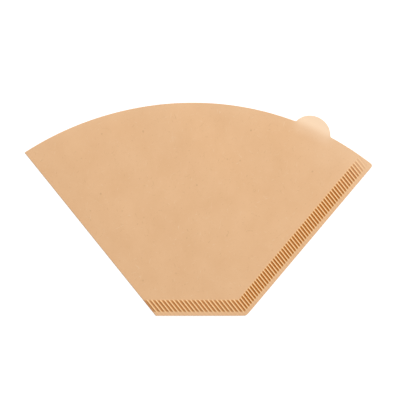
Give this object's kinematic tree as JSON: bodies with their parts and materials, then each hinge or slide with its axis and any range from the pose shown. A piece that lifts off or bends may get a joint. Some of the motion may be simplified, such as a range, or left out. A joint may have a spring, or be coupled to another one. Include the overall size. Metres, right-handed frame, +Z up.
{
  "type": "paper coffee filter",
  "caption": "Fan-shaped cone coffee filter of brown paper, folded flat along one side, crimped shut along its bottom and other side, with an open curved rim and a lifting tab.",
  "frame": {"origin": "middle of the bounding box, on the underside of the lower ply", "axes": "+X from the folded side to the crimped side, +Y towards the open rim, +Z up out of the upper ply"},
  "size_m": [0.1646, 0.1008, 0.0034],
  "materials": {
    "filter_paper": "matt unbleached paper with fine fibres"
  },
  "bodies": {
    "root": {"paper_filter": "filter_paper"}
  },
  "joints": []
}
